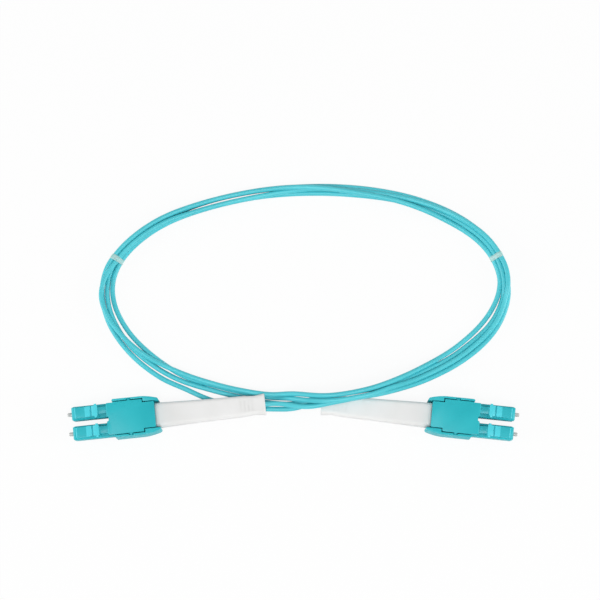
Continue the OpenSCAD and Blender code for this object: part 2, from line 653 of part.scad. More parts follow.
// Least gap of the coil to itself, measured between points along neighbouring turns
function on_coil(step) =
    let (k = (step - coil_from)/coil_step, i = min(floor(k), coil_rings - 2))
    mix(coil_path[i], coil_path[i+1], k - i);
coil_gap = min([
    for (step = [coil_from:2:coil_to-300], more = [300:2:coil_to-step])
        if (abs((more + 180)%360 - 180) < 20)
            norm(on_coil(step) - on_coil(step + more))]) - cable_d;
echo(str("least gap of the cable coil to itself: ", coil_gap, " mm"));
spring_gap = (spring_len - spring_wire)/spring_turns - spring_wire;
echo(str("gap between the turns of a spring: ", spring_gap, " mm"));
function path_length(p, i = 1) = i >= len(p) ? 0 : norm(p[i] - p[i-1]) + path_length(p, i + 1);
echo(str("cable length from crimp to crimp: ",
    path_length(lead_a_path) + path_length(coil_path) + path_length(lead_b_path), " mm"));

// ---- Clear ties: flat loops round all three turns ----
module stadium(span, r) {
    square([span, 2*r], center = true);
    for (s = [-1, 1]) translate([s*span/2, 0]) circle(r = r, $fn = round_fn);
}
module tie(step) color(CLEAR) {
    strands = [on_coil(step), on_coil(step + 360), on_coil(step + 720)];
    along = on_coil(step + 361) - on_coil(step + 360);
    out = unit([along[1], -along[0]]);
    reach = [for (p = strands) [p[0], p[1]]*out];
    mid = (min(reach) + max(reach))/2;
    at = strands[1] + (mid - reach[1])*[out[0], out[1], 0];
    translate([at[0], at[1], cable_h])
        rotate([0, 0, atan2(along[1], along[0])])
            rotate([90, 0, 90])
                linear_extrude(height = tie_w, center = true)
                    difference() {
                        stadium(max(reach) - min(reach) + 0.1, cable_d/2 + 0.05 + tie_t);
                        stadium(max(reach) - min(reach) + 0.1, cable_d/2 + 0.05);
                    }
}
module tie_right() tie(130);
module tie_left() tie(230);

ferrule("a", 1);  // ferrule_a1
ferrule("a", 2);  // ferrule_a2
ferrule("b", 1);  // ferrule_b1
ferrule("b", 2);  // ferrule_b2
ferrule_holder("a", 1);  // ferrule_holder_a1
ferrule_holder("a", 2);  // ferrule_holder_a2
ferrule_holder("b", 1);  // ferrule_holder_b1
ferrule_holder("b", 2);  // ferrule_holder_b2
spring("a", 1);  // spring_a1
spring("a", 2);  // spring_a2
spring("b", 1);  // spring_b1
spring("b", 2);  // spring_b2
fibre("a", 1);  // fibre_a1
fibre("a", 2);  // fibre_a2
fibre("b", 1);  // fibre_b1
fibre("b", 2);  // fibre_b2
plug_body("a", 1);  // plug_body_a1
plug_body("a", 2);  // plug_body_a2
plug_body("b", 1);  // plug_body_b1
plug_body("b", 2);  // plug_body_b2
latch("a", 1);  // latch_a1
latch("a", 2);  // latch_a2
latch("b", 1);  // latch_b1
latch("b", 2);  // latch_b2
spring_seat("a");  // spring_seat_a
spring_seat("b");  // spring_seat_b
housing_base("a");  // housing_base_a
housing_base("b");  // housing_base_b
housing_deck("a");  // housing_deck_a
housing_deck("b");  // housing_deck_b
trigger("a");  // trigger_a
trigger("b");  // trigger_b
crimp_sleeve("a");  // crimp_sleeve_a
crimp_sleeve("b");  // crimp_sleeve_b
boot("a");  // boot_a
boot("b");  // boot_b
cable_lead_a();
cable_coil();
cable_lead_b();
tie_left();
tie_right();
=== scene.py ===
# Duplex fibre optic patch cord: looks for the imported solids.
# Two twin-plug connectors share one round cable, wound four times round an oval.
import math

import bmesh
import bpy
import numpy as np
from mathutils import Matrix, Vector


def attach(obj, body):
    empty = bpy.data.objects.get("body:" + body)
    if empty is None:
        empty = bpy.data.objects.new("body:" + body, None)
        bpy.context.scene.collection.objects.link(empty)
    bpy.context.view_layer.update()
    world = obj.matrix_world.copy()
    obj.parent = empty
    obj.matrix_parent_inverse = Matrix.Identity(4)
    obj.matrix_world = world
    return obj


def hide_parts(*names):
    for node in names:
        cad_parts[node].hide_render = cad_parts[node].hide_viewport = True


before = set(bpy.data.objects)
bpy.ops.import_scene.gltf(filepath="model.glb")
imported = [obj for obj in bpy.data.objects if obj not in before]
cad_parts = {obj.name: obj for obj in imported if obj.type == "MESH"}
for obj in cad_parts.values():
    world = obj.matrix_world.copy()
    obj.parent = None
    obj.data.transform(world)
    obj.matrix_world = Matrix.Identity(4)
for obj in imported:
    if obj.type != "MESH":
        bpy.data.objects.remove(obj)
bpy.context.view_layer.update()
MAIN = "cord_and_housings"

# ---- Camera ----
# A long lens high over the front edge of the table, 80 degrees above the horizon.
aim = np.array([0.0021, 0.03845, 0.002])
height_angle = math.radians(80)
stand_off = 0.600
camera_data = bpy.data.cameras.new("camera")
camera_data.sensor_width = 36
camera_data.lens = 111.24
camera_data.clip_start = 0.02
camera_data.clip_end = 20
camera = bpy.data.objects.new("camera", camera_data)
camera.location = aim + stand_off * np.array([0, -math.cos(height_angle), math.sin(height_angle)])
camera.rotation_euler = (math.pi / 2 - height_angle, 0, 0)
bpy.context.scene.collection.objects.link(camera)
bpy.context.scene.camera = camera

# ---- Cable ----
# One round duplex cable, 1.6 mm thick, an extruded soft jacket over two fibres and yarn.
# It leaves the left boot, winds four times round the oval, rides over the right boot at the
# front each time, and goes into the right boot. The turns lie against and on each other.
MM = 0.001  # sizes below are in millimetres, and this takes them to metres
cable_r = 0.8
cable_sides = 20
point_spacing = 1.2
oval_middle = (4.25, 39.9)
oval_reach = (63.75, 35.1)


def oval(turn):
    """The bundle's middle line at an angle from the front, in degrees: an ellipse about
    oval_middle, stretched by one plus three small sines of once, twice and three times t."""
    t = np.radians(turn - 90)
    k = 1 + 0.027 * np.sin(t) + 0.027 * np.sin(2 * t) + 0.019 * np.sin(3 * t)
    x = oval_middle[0] + k * oval_reach[0] * np.cos(t)
    y = oval_middle[1] + k * oval_reach[1] * np.sin(t)
    return np.stack([x, y], -1)


def outward(turn):
    """The level direction square to the oval, away from its middle: the way along it, from a
    degree before to a degree after, turned by a right angle."""
    d = oval(turn + 1) - oval(turn - 1)
    d /= np.linalg.norm(d, axis=-1, keepdims=True)
    return np.stack([d[..., 1], -d[..., 0]], -1)


# Sections through the bundle: the angle from the front, then for each turn its distance outward
# from the oval and its height above the table. First all four turns, round the sides and back.
# A strand on the table has the height 1.05, one that lies on a strand about 2.65.
back_sections = np.array([
    [15, 0.73, 6.40, -1.15, 6.48, 0.75, 8.08, -1.01, 8.21],
    [20, 1.06, 6.41, -0.93, 6.51, 0.80, 8.08, -1.08, 8.22],
    [25, 1.36, 6.17, -0.75, 6.35, 0.42, 7.62, -1.32, 8.01],
    [30, 1.59, 5.47, -0.62, 5.72, 0.52, 6.98, -1.65, 7.20],
    [35, 1.83, 4.45, -0.70, 4.70, 0.60, 5.73, -1.95, 5.84],
    [40, 2.00, 3.39, -0.80, 3.60, 0.62, 4.44, -2.20, 4.45],
    [45, 2.15, 2.44, -0.75, 2.60, 0.70, 3.28, -2.30, 3.12],
    [50, 2.35, 1.75, -0.60, 1.85, 0.87, 2.52, -2.30, 2.20],
    [55, 2.50, 1.28, -0.50, 1.35, 1.00, 1.95, -2.28, 1.55],
    [60, 2.62, 1.05, -0.45, 1.08, 1.09, 1.62, -2.28, 1.18],
    [75, 2.55, 1.05, 0.15, 1.05, 1.35, 2.17, -2.03, 1.05],
    [84, 2.00, 1.05, 0.05, 1.05, 0.98, 2.38, -1.85, 1.05],
    [90, 1.60, 1.05, -0.05, 1.05, 0.78, 2.47, -1.70, 1.05],
    [94, 1.25, 1.05, -0.18, 1.79, 0.85, 3.11, -1.62, 1.05],
    [97, 0.95, 1.05, -0.30, 2.06, 0.85, 3.20, -1.56, 1.05],
    [105, 0.60, 1.05, -0.60, 2.20, 0.76, 3.12, -1.74, 1.05],
    [111, 0.65, 1.05, -0.60, 2.10, 0.52, 3.27, -1.85, 1.05],
    [120, 0.80, 1.05, -0.54, 1.97, 0.55, 3.17, -1.94, 1.05],
    [128, 0.95, 1.05, -0.56, 1.62, 0.44, 2.90, -2.08, 1.10],
    [135, 1.05, 1.05, -0.59, 1.26, 0.33, 2.62, -2.20, 1.36],
    [143, 1.13, 1.05, -0.78, 1.14, 0.22, 2.44, -2.02, 2.22],
    [150, 1.20, 1.05, -0.94, 1.05, 0.13, 2.27, -1.62, 2.55],
    [158, 1.19, 1.05, -1.12, 1.05, 0.03, 2.20, -1.32, 3.11],
    [165, 1.17, 1.05, -1.28, 1.05, -0.05, 2.12, -1.00, 3.42],
    [172, 1.14, 1.05, -1.30, 1.05, -0.12, 2.21, -0.42, 3.82],
    [180, 1.09, 1.05, -1.25, 1.05, -0.10, 2.19, 0.25, 3.86],
    [184, 1.07, 1.05, -1.20, 1.05, -0.42, 2.45, 0.42, 3.83],
    [188, 1.05, 1.05, -1.15, 1.05, -0.78, 2.62, 0.55, 3.52],
    [195, 1.00, 1.05, -1.08, 1.05, -1.25, 2.65, 0.66, 2.98],
    [202, 1.00, 1.05, -1.12, 1.05, -1.40, 2.64, 0.70, 2.66],
    [210, 1.00, 1.05, -1.08, 1.05, -1.36, 2.64, 0.78, 2.66],
    [217, 1.00, 1.05, -0.90, 1.05, -1.05, 2.66, 0.98, 2.67],
    [225, 1.00, 1.05, -0.66, 1.05, -0.42, 2.65, 1.36, 2.63],
    [240, 1.07, 1.05, -0.55, 1.05, 0.02, 2.57, 1.68, 2.56],
    [246, 1.14, 1.05, -0.48, 1.05, 0.28, 2.51, 1.92, 2.47],
    [251, 1.20, 1.05, -0.42, 1.05, 0.60, 2.55, 2.20, 2.30],
    [254, 1.16, 1.05, -0.45, 1.05, 0.92, 2.70, 2.48, 2.03],
    [258, 1.10, 1.05, -0.50, 1.05, 1.60, 2.75, 2.66, 1.50],
    [265, 0.95, 1.05, -0.70, 1.05, 2.42, 2.67, 2.62, 1.05],
    [270, 0.85, 1.05, -0.92, 1.05, 2.70, 2.67, 2.50, 1.05],
    [277, 0.75, 1.05, -1.25, 1.05, 2.25, 2.67, 2.40, 1.05],
    [285, 0.68, 1.05, -1.56, 1.05, 1.40, 2.55, 2.40, 1.05],
    [292, 0.76, 1.05, -1.65, 1.05, 0.80, 2.68, 2.43, 1.05],
    [300, 0.85, 1.05, -1.70, 1.05, 0.22, 2.60, 2.58, 1.05],
    [307, 0.80, 1.05, -1.63, 1.05, -0.40, 2.30, 2.72, 1.05],
    [311, 0.78, 1.05, -1.52, 1.05, -0.78, 2.55, 2.77, 1.05],
    [315, 0.74, 1.05, -1.35, 1.05, -1.15, 2.69, 2.80, 1.05],
])
# Then the first three turns, which go on over the front and up the right boot into the next turn.
front_sections = np.array([
    [322, 0.50, 1.05, -1.15, 1.05, -1.65, 2.60],
    [330, -0.05, 1.05, -1.68, 1.05, -2.05, 2.64],
    [335, -0.18, 1.05, -1.84, 1.05, -2.15, 2.65],
    [340, -0.12, 1.05, -1.76, 1.05, -2.18, 2.65],
    [345, 0.13, 1.05, -1.54, 1.05, -2.14, 2.65],
    [350, 0.31, 1.00, -1.40, 1.20, -2.20, 2.85],
    [355, 0.45, 2.08, -1.20, 3.15, -2.60, 3.95],
    [360, -0.25, 4.69, -0.20, 6.62, -2.00, 6.45],
    [365, -1.09, 6.29, 0.47, 8.05, -1.20, 8.02],
    [370, -1.21, 6.45, 0.72, 8.10, -0.98, 8.21],
])


def coil_points():
    """The cable's points round the coil: turn by turn, the oval's point at each section's angle,
    moved outward and lifted as that section says."""
    rows = []
    for k in range(4):
        rows.append(back_sections[:, [0, 2 * k + 1, 2 * k + 2]])
        if k < 3:
            rows.append(front_sections[:, [0, 2 * k + 1, 2 * k + 2]])
    angle, out, height = np.concatenate(rows).T
    return np.column_stack([oval(angle) + out[:, None] * outward(angle), height])


# Each connector has a frame of its own: +x from the plugs' fronts to the boot's end, +z up.
# It lies turned in the level plane, the end of its boot a little off the middle of the cord.
boot_end = 61.6
axis_h = 3.7
connector_turn = 6
exit_x = 9.0
exit_y = 4.3


def in_connector(end, points):
    """Points of a connector's own frame taken to where it lies: turned about the end of the boot,
    by connector_turn for a and by 180 degrees less that for b, and moved to the boot's exit."""
    points = np.asarray(points, float)
    turn = math.radians(connector_turn if end == "a" else 180 - connector_turn)
    x, y = points[..., 0] - boot_end, points[..., 1]
    return np.stack(
        [
            (-exit_x if end == "a" else exit_x) + x * math.cos(turn) - y * math.sin(turn),
            exit_y + x * math.sin(turn) + y * math.cos(turn),
            points[..., 2],
        ],
        -1,
    )


def spline(points, spacing):
    """A natural cubic spline through points, at even spacing: between two points each coordinate
    is a cubic of the chord length. Its slope and second slope, m, run on through every point."""
    h = np.linalg.norm(np.diff(points, axis=0), axis=1)
    at = np.concatenate([[0], np.cumsum(h)])
    n = len(points)
    a = np.zeros((n, n))
    b = np.zeros((n, 3))
    a[0, 0] = a[-1, -1] = 1
    i = np.arange(1, n - 1)
    a[i, i - 1], a[i, i], a[i, i + 1] = h[:-1], 2 * (h[:-1] + h[1:]), h[1:]
    slope = np.diff(points, axis=0) / h[:, None]
    b[1:-1] = 6 * np.diff(slope, axis=0)
    m = np.linalg.solve(a, b)
    t = np.linspace(0, at[-1], int(at[-1] / spacing))
    k = np.clip(np.searchsorted(at, t, side="right") - 1, 0, n - 2)
    u, w = (t - at[k])[:, None], (at[k + 1] - t)[:, None]
    hk = h[k][:, None]
    return (
        (m[k] * w**3 + m[k + 1] * u**3) / (6 * hk)
        + (points[k] / hk - m[k] * hk / 6) * w
        + (points[k + 1] / hk - m[k + 1] * hk / 6) * u
    )


# Along the axis of a boot, then from the left boot up onto the right one, and at the end of the
# fourth turn along the table and up into the right boot.
in_boot = np.array([[boot_end - inside, 0, axis_h] for inside in (10, 5, 0, -2)])
lead_a = [
    [-5.3, 4.5, 3.95], [-2.6, 4.2, 4.6], [0.2, 3.7, 5.4], [3, 3.3, 6], [6, 3.35, 6.35],
    [8.6, 3.75, 6.4], [11.2, 4.3, 6.4], [14.2, 4.9, 6.4], [17, 5.45, 6.4],
]
lead_b = [
    [-34.4, 9.4, 1.05], [-31.4, 8, 1.05], [-28.3, 6.65, 1.05], [-25, 5.5, 1.05],
    [-21.6, 4.55, 1.05], [-18.2, 3.95, 1.05], [-14.8, 3.5, 1.05], [-11.4, 3.25, 1.05],
    [-8, 3.1, 1.05], [-4.8, 3.05, 1.05], [-2.3, 3.05, 1.1], [0.1, 3.25, 1.45],
    [2.8, 3.85, 2.2], [5, 4.45, 3.15],
]
route = [
    in_connector("a", in_boot),
    lead_a,
    coil_points(),
    lead_b,
    in_connector("b", in_boot[::-1]),
]
cable_line = spline(np.concatenate(route), point_spacing)


def skin(name, rings, uv=None):
    """A closed mesh over a grid: rings[i, k] is point k of ring i. Each face joins points k and
    k + 1 of rings i and i + 1, k wraps round, and the first and last ring are capped. uv gives the
    distance round a ring and the distance of each ring along the piece, both in metres."""
    n, m = rings.shape[:2]
    i, k = np.meshgrid(np.arange(n - 1), np.arange(m), indexing="ij")
    i, k = i.ravel(), k.ravel()
    k1 = (k + 1) % m
    quads = np.stack([i * m + k, i * m + k1, (i + 1) * m + k1, (i + 1) * m + k], -1)
    caps = [np.arange(m)[::-1].tolist(), (np.arange(m) + (n - 1) * m).tolist()]
    mesh = bpy.data.meshes.new(name)
    mesh.from_pydata(rings.reshape(-1, 3).tolist(), [], quads.tolist() + caps)
    if uv is not None:
        layer = mesh.uv_layers.new(name="UVMap")
        across, lengthways = uv
        u = np.stack([k, k + 1, k + 1, k], -1) / m * across
        v = np.stack([lengthways[i], lengthways[i], lengthways[i + 1], lengthways[i + 1]], -1)
        flat = np.stack([u, v], -1).reshape(-1, 2)
        flat = np.concatenate([flat, np.zeros((2 * m, 2))])
        layer.data.foreach_set("uv", flat.ravel())
    mesh.polygons.foreach_set("use_smooth", np.array([True] * len(quads) + [False] * 2))
    mesh.update()
    piece = bpy.data.objects.new(name, mesh)
    bpy.context.scene.collection.objects.link(piece)
    return piece


def outward_faces(piece):
    """Turns the faces of a closed mesh outward."""
    work = bmesh.new()
    work.from_mesh(piece.data)
    bmesh.ops.recalc_face_normals(work, faces=work.faces)
    work.to_mesh(piece.data)
    work.free()


def tube(name, line, r, sides):
    """A round tube: at each point of line a circle of radius r, square to the way there, which is
    the difference of the points before and after."""
    way = np.gradient(line, axis=0)
    way /= np.linalg.norm(way, axis=1, keepdims=True)
    side = np.cross(way, [0, 0, 1])
    side /= np.linalg.norm(side, axis=1, keepdims=True)
    up = np.cross(side, way)
    a = 2 * np.pi * np.arange(sides) / sides
    rings = line[:, None] + r * (
        np.cos(a)[None, :, None] * side[:, None] + np.sin(a)[None, :, None] * up[:, None]
    )
    length = np.concatenate([[0], np.cumsum(np.linalg.norm(np.diff(line, axis=0), axis=1))])
    return skin(name, rings * MM, (2 * np.pi * r * MM, length * MM))


def new_material(name, colour, roughness, **sockets):
    """A node material with the shader's own colour and roughness; returns it with its shader."""
    material = bpy.data.materials.new(name)
    material.use_nodes = True
    material.diffuse_color = (*colour, 1)
    shader = material.node_tree.nodes["Principled BSDF"]
    shader.inputs["Base Color"].default_value = (*colour, 1)
    shader.inputs["Roughness"].default_value = roughness
    for socket, value in sockets.items():
        shader.inputs[socket.replace("_", " ")].default_value = value
    return material, shader


def noise_value(material, size, detail, coordinate, stretch):
    """Soft noise from 0 to 1 with patches about size metres across; stretch under 1 draws them
    out that way. Returns the noise node's output."""
    nodes, links = material.node_tree.nodes, material.node_tree.links
    where = nodes.new("ShaderNodeTexCoord")
    mapping = nodes.new("ShaderNodeMapping")
    mapping.inputs["Scale"].default_value = stretch
    noise = nodes.new("ShaderNodeTexNoise")
    noise.inputs["Scale"].default_value = 1 / size
    noise.inputs["Detail"].default_value = detail
    links.new(where.outputs[coordinate], mapping.inputs["Vector"])
    links.new(mapping.outputs["Vector"], noise.inputs["Vector"])
    return noise.outputs["Fac"]


def mottle(material, shader, colours, size, coordinate="Object", stretch=(1, 1, 1)):
    """A soft cloudy change between two colours, one patch about size metres across."""
    nodes, links = material.node_tree.nodes, material.node_tree.links
    ramp = nodes.new("ShaderNodeValToRGB")
    for stop, place, colour in zip(ramp.color_ramp.elements, (0.35, 0.65), colours):
        stop.position = place
        stop.color = (*colour, 1)
    clouds = noise_value(material, size, 3, coordinate, stretch)
    links.new(clouds, ramp.inputs["Fac"])
    links.new(ramp.outputs["Color"], shader.inputs["Base Color"])


def grain(material, shader, size, depth, strength, coordinate="Object", stretch=(1, 1, 1)):
    """Fine bumps, one about size metres across and depth metres deep."""
    nodes, links = material.node_tree.nodes, material.node_tree.links
    bump = nodes.new("ShaderNodeBump")
    bump.inputs["Strength"].default_value = strength
    bump.inputs["Distance"].default_value = depth
    links.new(noise_value(material, size, 2, coordinate, stretch), bump.inputs["Height"])
    links.new(bump.outputs["Normal"], shader.inputs["Normal"])


cable = tube("cable", cable_line, cable_r, cable_sides)
outward_faces(cable)
jacket, jacket_shader = new_material("cable_jacket", (0.08, 0.60, 0.68), 0.4)
jacket_tones = [(0.067, 0.565, 0.645), (0.093, 0.635, 0.715)]
mottle(jacket, jacket_shader, jacket_tones, 0.004, "UV", (1, 0.25, 1))
grain(jacket, jacket_shader, 0.00035, 0.00002, 0.35, "UV", (1, 0.08, 1))
cable.data.materials.append(jacket)
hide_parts("cable_lead_a", "cable_coil", "cable_lead_b")
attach(cable, MAIN)

# ---- Clear ties ----
# A strip of thin clear film wound tightly round the four turns and stuck to itself, one on the
# left and one on the right of the oval's rear. It is pulled straight from strand to strand.
film = 0.09
film_gap = 0.03
tie_width = 1.5


def film_loop(name, angle, seed):
    """A tight closed loop round the section at angle: in each direction its point is one strand's
    radius, a gap and the film out from the strand that reaches furthest that way. The film's own
    section is tie_width along the strands, thicker in the middle, and wavers by two small sines."""
    section = back_sections[back_sections[:, 0] == angle][0]
    centres = section[1:].reshape(4, 2)
    middle = np.append(oval(float(angle)), 0)
    out = np.append(outward(float(angle)), 0)
    ahead = np.array([-out[1], out[0], 0])
    a = np.linspace(0, 2 * np.pi, 72, endpoint=False)
    way = np.column_stack([np.cos(a), np.sin(a)])
    hold = centres[np.argmax(centres @ way.T, axis=0)]
    rng = np.random.default_rng(seed)
    waver = 0.05 * np.sin(2 * a + rng.uniform(0, 6)) + 0.04 * np.sin(3 * a + rng.uniform(0, 6))
    wall = [
        # share of the width, distance outward
        (-0.5, 0.02), (-0.5, film), (-0.2, film + 0.03),
        (0.2, film + 0.03), (0.5, film), (0.5, 0.02),
    ]
    rings = []
    for share, thick in wall:
        across, up = (hold + (cable_r + film_gap + thick) * way).T
        along = share * tie_width + waver + 0.25 * np.sin(a) * share
        rings.append(
            middle
            + across[:, None] * out
            + up[:, None] * np.array([0, 0, 1])
            + along[:, None] * ahead
        )
    rings = np.array(rings) * MM
    n, m = rings.shape[:2]
    i, k = np.meshgrid(np.arange(n), np.arange(m), indexing="ij")
    i, k = i.ravel(), k.ravel()
    i1, k1 = (i + 1) % n, (k + 1) % m
    faces = np.stack([i * m + k, i * m + k1, i1 * m + k1, i1 * m + k], -1)
    mesh = bpy.data.meshes.new(name)
    mesh.from_pydata(rings.reshape(-1, 3).tolist(), [], faces.tolist())
    mesh.polygons.foreach_set("use_smooth", np.ones(len(faces), bool))
    piece = bpy.data.objects.new(name, mesh)
    bpy.context.scene.collection.objects.link(piece)
    outward_faces(piece)
    return piece


clear, clear_shader = new_material("tie_clear", (0.66, 0.95, 0.90), 0.3, Alpha=0.48)
grain(clear, clear_shader, 0.0006, 0.00006, 0.5)
mottle(clear, clear_shader, [(0.56, 0.90, 0.85), (0.76, 0.98, 0.95)], 0.0012)
for name, angle, seed in [("film_left", 251, 3), ("film_right", 111, 8)]:
    loop = film_loop(name, angle, seed)
    loop.data.materials.append(clear)
    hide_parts(name.replace("film", "tie"))
    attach(loop, MAIN)

# ---- Shells: plug bodies and housings ----
# Injection-moulded aqua plastic with a satin skin and small rounded edges.
# The plugs are pushed into the housing from the front; the halves snap shut.
rounding_steps = 2
sharpest_angle = math.radians(35)


def soft_edged(node, width, body):
    """The node's own shape with its triangles joined to flat faces, and every edge where two of
    them meet by more than sharpest_angle rounded over width."""
    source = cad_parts[node]
    mesh = source.data.copy()
    mesh.name = node + "_shell"
    mesh.materials.clear()
    work = bmesh.new()
    work.from_mesh(mesh)
    bmesh.ops.remove_doubles(work, verts=work.verts, dist=2e-6)
    bmesh.ops.dissolve_limit(
        work,
        angle_limit=math.radians(1.5),
        use_dissolve_boundaries=False,
        verts=work.verts,
        edges=work.edges,
    )
    work.to_mesh(mesh)
    work.free()
    piece = bpy.data.objects.new(node + "_shell", mesh)
    bpy.context.scene.collection.objects.link(piece)
    bevel = piece.modifiers.new("rounded_edges", "BEVEL")
    bevel.width = width * MM
    bevel.segments = rounding_steps
    bevel.limit_method = "ANGLE"
    bevel.angle_limit = sharpest_angle
    bevel.use_clamp_overlap = True
    bevel.harden_normals = True
    mesh.polygons.foreach_set("use_smooth", np.ones(len(mesh.polygons), bool))
    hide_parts(node)
    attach(piece, body)
    return piece


shell, shell_shader = new_material("aqua_shell", (0.024, 0.495, 0.56), 0.42, Specular_IOR_Level=0.3)
mottle(shell, shell_shader, [(0.022, 0.48, 0.545), (0.026, 0.51, 0.575)], 0.006)
grain(shell, shell_shader, 0.00016, 0.000012, 0.4)
plugs_of = {"a": ("a1", "a2"), "b": ("b1", "b2")}
for end, plugs in plugs_of.items():
    for plug in plugs:
        piece = soft_edged("plug_body_" + plug, 0.06, MAIN)
        piece.data.materials.append(shell)
    piece = soft_edged("housing_base_" + end, 0.1, MAIN)
    piece.data.materials.append(shell)

# ---- Latches ----
# One on top of each plug, moulded in the same plastic and bent down by the trigger.
# Its two cam ramps and the slot between them catch the light; the tail lies under the trigger.
# Every face that leans away from straight up gets a painted highlight: a lighter aqua mixed into
# its colour.
latch_skin, latch_shader = new_material(
    "aqua_latch", (0.026, 0.48, 0.55), 0.36, Specular_IOR_Level=0.4
)
mottle(latch_skin, latch_shader, [(0.023, 0.465, 0.535), (0.03, 0.495, 0.565)], 0.004)
grain(latch_skin, latch_shader, 0.00018, 0.00001, 0.35)
nodes, links = latch_skin.node_tree.nodes, latch_skin.node_tree.links
# Painted highlight: a face whose normal tilts from straight up (z 0.985 to 0.955 and below) gets a
# lighter aqua, standing in for the light the ramps catch.
facing = nodes.new("ShaderNodeNewGeometry")
upward = nodes.new("ShaderNodeSeparateXYZ")
slope = nodes.new("ShaderNodeMapRange")
for socket, value in {"From Min": 0.985, "From Max": 0.955, "To Min": 0, "To Max": 1}.items():
    slope.inputs[socket].default_value = value
slope_highlight = nodes.new("ShaderNodeMix")
slope_highlight.data_type = "RGBA"
slope_highlight.inputs[7].default_value = (0.075, 0.66, 0.76, 1)
links.new(facing.outputs["True Normal"], upward.inputs[0])
links.new(upward.outputs["Z"], slope.inputs["Value"])
links.new(slope.outputs["Result"], slope_highlight.inputs["Factor"])
links.new(latch_shader.inputs["Base Color"].links[0].from_socket, slope_highlight.inputs[6])
links.new(slope_highlight.outputs[2], latch_shader.inputs["Base Color"])
for plugs in plugs_of.values():
    for plug in plugs:
        piece = soft_edged("latch_" + plug, 0.07, "latch_" + plug)
        piece.data.materials.append(latch_skin)

# ---- Triggers ----
# A wide flat plate that rocks on two side pivots and presses both latch tails at once.
# Moulded like the shell, with a smoother top where the thumb goes.
plate, plate_shader = new_material("aqua_plate", (0.02, 0.48, 0.545), 0.40, Specular_IOR_Level=0.3)
mottle(plate, plate_shader, [(0.018, 0.465, 0.53), (0.022, 0.495, 0.56)], 0.007)
grain(plate, plate_shader, 0.00022, 0.00001, 0.3)
for end in plugs_of:
    piece = soft_edged("trigger_" + end, 0.09, "trigger_" + end)
    piece.data.materials.append(plate)

# ---- Inner plastic: decks and spring seats ----
# Plain moulded inner parts in a deeper tone, seen only through the gaps round the trigger.
inner, inner_shader = new_material("inner_plastic", (0.02, 0.36, 0.42), 0.5)
mottle(inner, inner_shader, [(0.018, 0.33, 0.39), (0.024, 0.39, 0.45)], 0.004)
grain(inner, inner_shader, 0.0002, 0.00001, 0.4)


def dress(node, material):
    """Gives a carried-over solid its finish in all of its slots."""
    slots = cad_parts[node].data.materials
    slots.clear()
    slots.append(material)


for end in plugs_of:
    dress("housing_deck_" + end, inner)
    dress("spring_seat_" + end, inner)

# ---- Boots ----
# Soft white rubber strain relief: a captive flange and neck inside the housing, a body that
# thins and narrows, a few flexing slots, and a flared end that the cable leaves.
body_start, body_length = 26.5, 28.1
tail_start, tail_step = 47.5, 0.6
tail_height = 3.2
boot_corner = 1.15
boot_front = np.array([
    # x, width, height, corner radius
    [23.45, 7.6, 3.5, 0.6], [23.45, 8.4, 4.3, 0.6], [24.95, 8.4, 4.3, 0.6], [24.95, 6.6, 4.3, 0.6],
    [26.5, 6.6, 4.3, 0.6], [26.5, 7.3, 5.7, 1.0], [26.58, 7.6, 6.0, 1.1],
    [26.75, 7.8, 6.2, boot_corner],
])
taper = np.array([
    # share of the body's length, how far its height has come down to the tail's
    [0.05, 0.03], [0.1, 0.1], [0.15, 0.2], [0.2, 0.32], [0.26, 0.45], [0.32, 0.59],
    [0.38, 0.72], [0.44, 0.82], [0.5, 0.9], [0.55, 0.945], [0.6, 0.98], [0.7, 1],
])
tail_widths = np.array([
    # x, width
    [46.2, 7.03], [54.6, 6.7], [56.6, 6.35], [58.2, 6.05], [61.35, 6.9],
])
boot_rim = np.array([
    # x, width, height, corner radius
    [boot_end - 0.22, 6.88, 3.18, 1.14], [boot_end - 0.07, 6.78, 3.02, 1.06],
    [boot_end, 6.5, 2.8, 0.95],
])
boot_bore = [
    # x, radius
    [boot_end, 1.0], [boot_end - 0.2, 0.88], [31.4, 0.88], [31.4, 1.85], [23.45, 1.85],
]
slot_length, slot_w, slot_floor = 0.4, 3.6, 1.4
slot_starts = boot_end - 8 + 1.25 * np.arange(4)
corner_steps = 9


def mix(a, b, share):
    """A straight blend from a to b as share goes from 0 to 1."""
    return a + (b - a) * share


def boot_sections():
    """Stations along the boot, each x, width, height and corner radius: the front, the body, whose
    height comes down by the taper's S curve, the tail, narrowest before its flare, and the rim."""
    x = body_start + body_length * taper[:, 0]
    width, height = mix(7.8, 6.7, taper[:, 0]), mix(6.2, tail_height, taper[:, 1])
    body = np.column_stack([x, width, height, 0 * x + boot_corner])
    slot_x = slot_starts[:, None] + np.array([0, 0, slot_length, slot_length])
    even_x = np.arange(tail_start, boot_end - 0.3, tail_step)
    tail_x = np.sort(np.concatenate([even_x, slot_x.ravel()]))
    width = np.interp(tail_x, *tail_widths.T)
    tail = np.column_stack([tail_x, width, 0 * tail_x + tail_height, 0 * tail_x + boot_corner])
    return np.concatenate([boot_front, body, tail, boot_rim])


